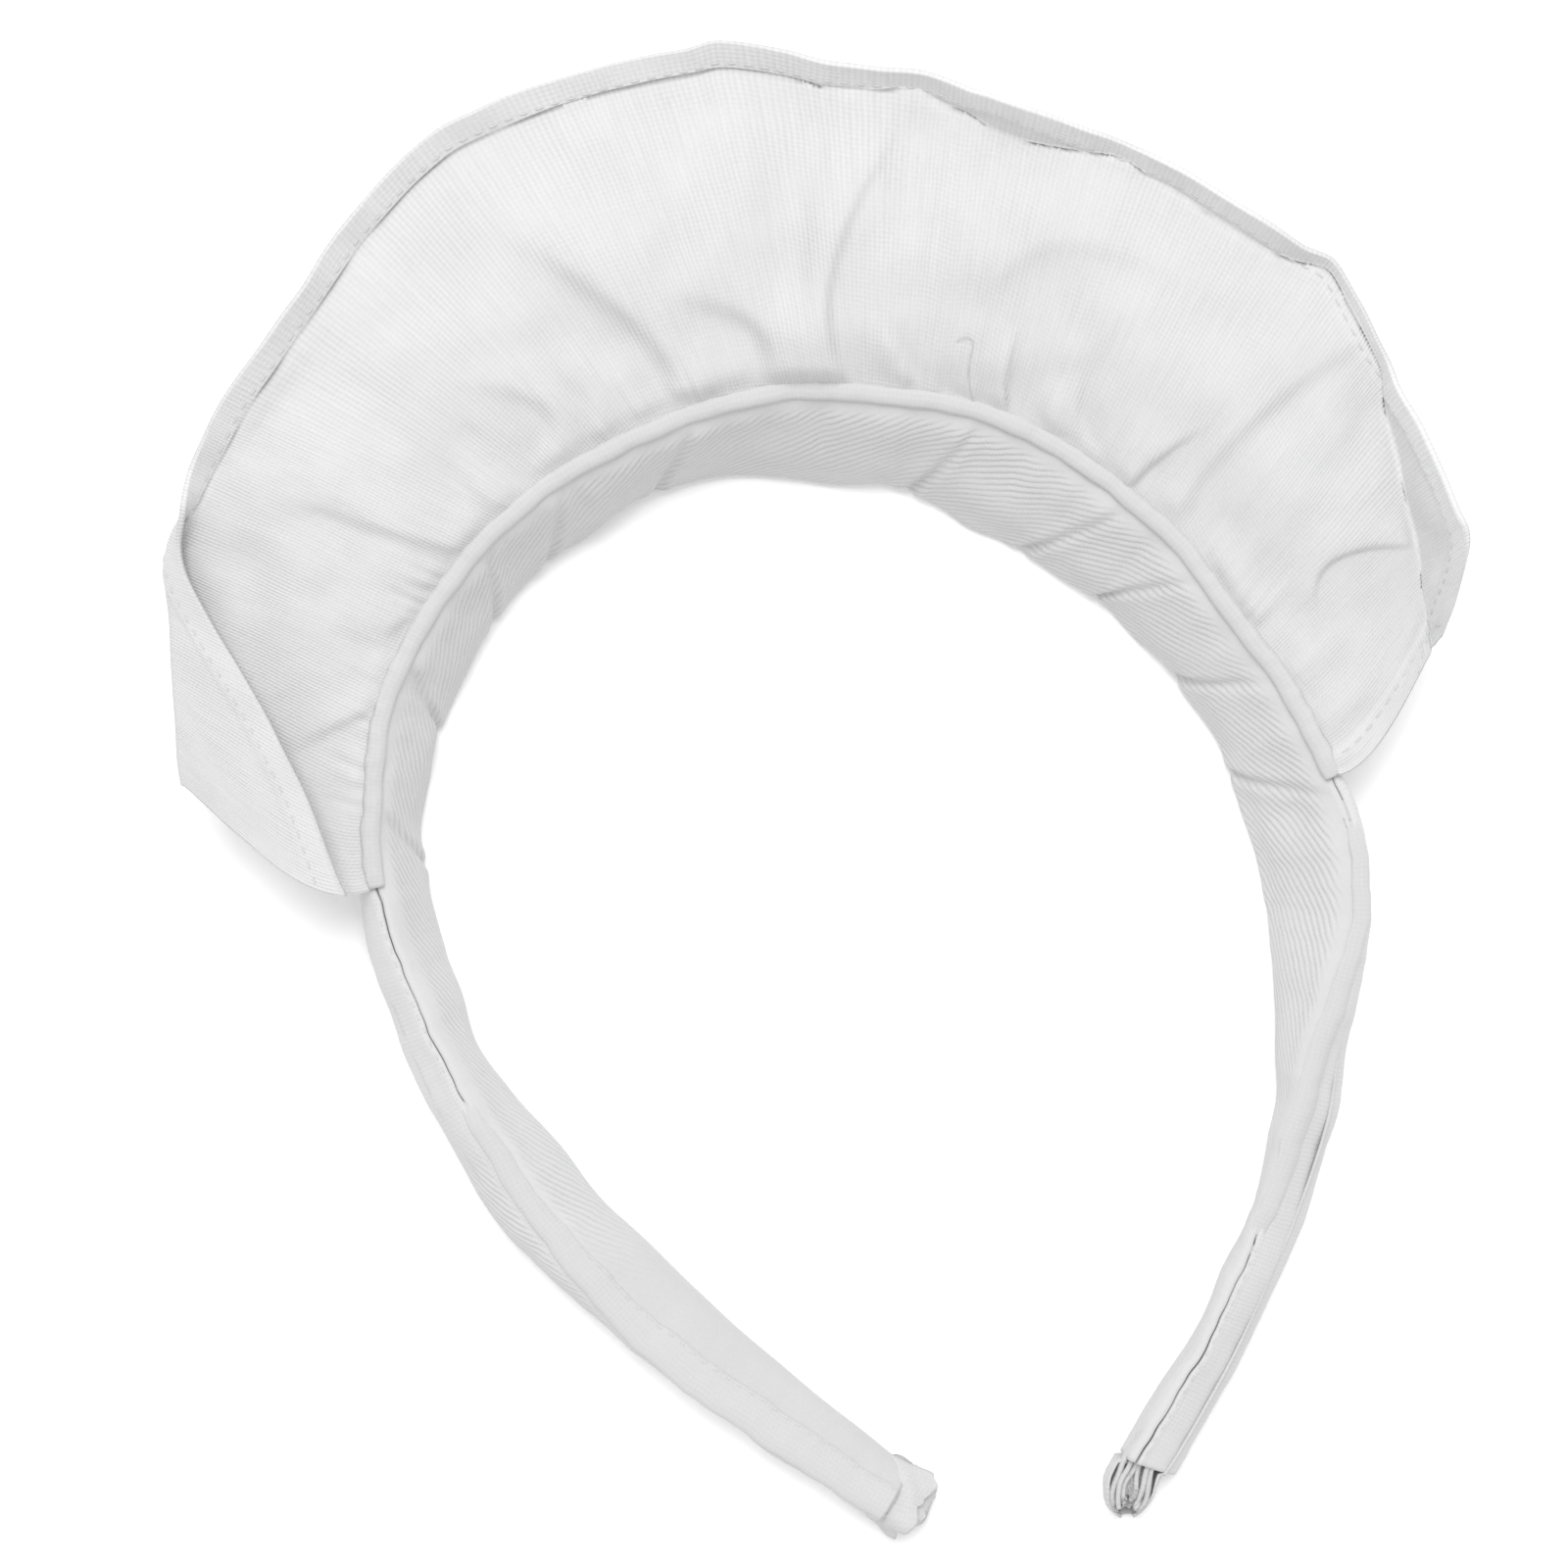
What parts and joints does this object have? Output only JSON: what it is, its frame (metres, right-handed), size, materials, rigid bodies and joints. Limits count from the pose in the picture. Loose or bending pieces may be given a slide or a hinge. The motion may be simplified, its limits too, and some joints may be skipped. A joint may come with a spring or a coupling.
{
  "type": "maid headband",
  "caption": "Cloth head band open at the back, with a gathered frill along its front edge and two folded frill ends.",
  "frame": {"origin": "on the floor that the band's rear edge lies on, under the middle of the outline", "axes": "+Y from the band's two open ends towards the middle of the frill, +Z from the band's rear edge to its front edge, +X to the end of the frill whose flap stands up"},
  "size_m": [0.1676, 0.198, 0.0351],
  "materials": {
    "twill": "matte white cotton twill with fine diagonal ribs",
    "plain_cloth": "matte white cotton in plain weave",
    "raw_cloth": "matte white cotton with raw cut edges",
    "frill_cloth": "thin white cotton voile in plain weave, slightly see-through to light"
  },
  "bodies": {
    "root": {"band_lining": "twill", "band_cover": "plain_cloth", "band_filling": "raw_cloth", "seam_welt": "plain_cloth", "frill": "frill_cloth"}
  },
  "joints": []
}
